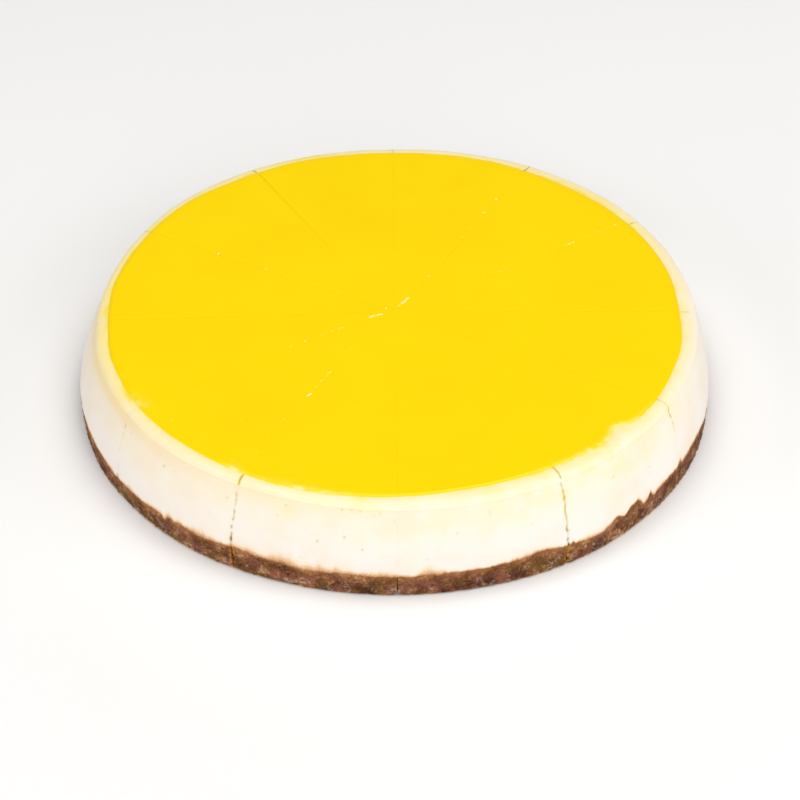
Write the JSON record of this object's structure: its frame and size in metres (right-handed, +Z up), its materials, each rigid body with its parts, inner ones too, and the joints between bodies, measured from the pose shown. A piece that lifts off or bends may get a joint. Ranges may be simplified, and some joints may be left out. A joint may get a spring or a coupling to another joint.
{
  "type": "sliced lemon cheesecake",
  "caption": "Round baked cheesecake on a pressed crumb crust, topped with a smooth set lemon glaze and cut into equal slices that still stand together.",
  "frame": {"origin": "middle of the flat underside, on the surface that the cake stands on", "axes": "+Z up through the cake; one straight cut runs close to the Y axis, and -Y is the side nearest to the viewer"},
  "size_m": [0.256, 0.2562, 0.0413],
  "materials": {
    "crumb_crust": "coarse pressed biscuit crumb, matt",
    "cream_filling": "smooth baked cream cheese, soft satin",
    "lemon_glaze": "smooth set lemon jelly, glossy"
  },
  "bodies": {
    "root": {"crust_01": "crumb_crust", "crust_02": "crumb_crust", "crust_03": "crumb_crust", "crust_04": "crumb_crust", "crust_05": "crumb_crust", "crust_06": "crumb_crust", "crust_07": "crumb_crust", "crust_08": "crumb_crust", "crust_09": "crumb_crust", "crust_10": "crumb_crust", "crust_11": "crumb_crust", "crust_12": "crumb_crust", "filling_01": "cream_filling", "filling_02": "cream_filling", "filling_03": "cream_filling", "filling_04": "cream_filling", "filling_05": "cream_filling", "filling_06": "cream_filling", "filling_07": "cream_filling", "filling_08": "cream_filling", "filling_09": "cream_filling", "filling_10": "cream_filling", "filling_11": "cream_filling", "filling_12": "cream_filling", "lemon_01": "lemon_glaze", "lemon_02": "lemon_glaze", "lemon_03": "lemon_glaze", "lemon_04": "lemon_glaze", "lemon_05": "lemon_glaze", "lemon_06": "lemon_glaze", "lemon_07": "lemon_glaze", "lemon_08": "lemon_glaze", "lemon_09": "lemon_glaze", "lemon_10": "lemon_glaze", "lemon_11": "lemon_glaze", "lemon_12": "lemon_glaze"}
  },
  "joints": []
}
